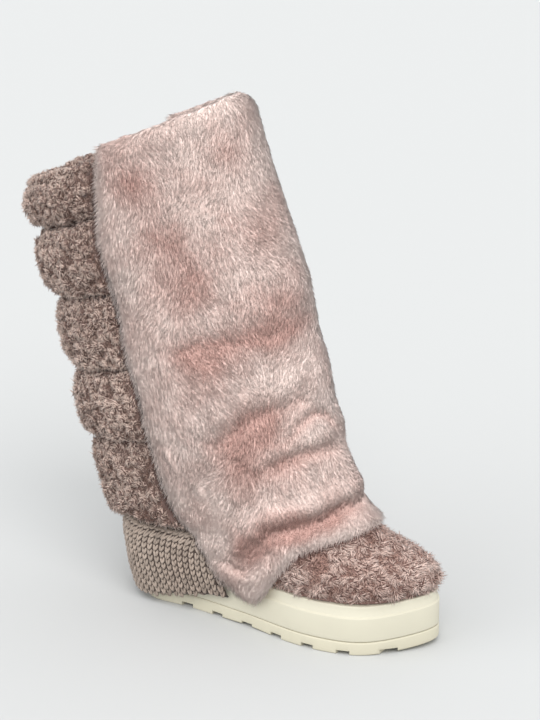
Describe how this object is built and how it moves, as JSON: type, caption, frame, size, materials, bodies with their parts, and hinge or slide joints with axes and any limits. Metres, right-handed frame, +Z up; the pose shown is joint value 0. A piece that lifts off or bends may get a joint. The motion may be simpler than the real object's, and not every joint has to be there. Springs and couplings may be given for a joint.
{
  "type": "snow boot",
  "caption": "Right-foot knee-high snow boot: cream platform sole, hollow curly-pile upper, padded rolls up the back of the shaft, knitted heel cover and a draped plush fur sheet.",
  "frame": {"origin": "on the floor under the middle of the heel tread", "axes": "+X towards the toe, +Y towards the inner (medial) side, +Z up"},
  "size_m": [0.4054, 0.1538, 0.4689],
  "materials": {
    "tread_rubber": "matt moulded foam rubber",
    "platform_rubber": "smooth satin moulded foam rubber",
    "footbed_felt": "short felt",
    "curly_pile": "curly looped pile, matt",
    "heel_yarn": "thick knitted yarn, matt",
    "plush_fur": "plush artificial fur, soft sheen"
  },
  "bodies": {
    "root": {"outsole": "tread_rubber", "midsole": "platform_rubber", "insole": "footbed_felt", "upper": "curly_pile", "heel_knit": "heel_yarn", "shaft_roll_1": "curly_pile", "shaft_roll_2": "curly_pile", "shaft_roll_3": "curly_pile", "shaft_roll_4": "curly_pile", "shaft_roll_5": "curly_pile", "fur_panel": "plush_fur"}
  },
  "joints": []
}
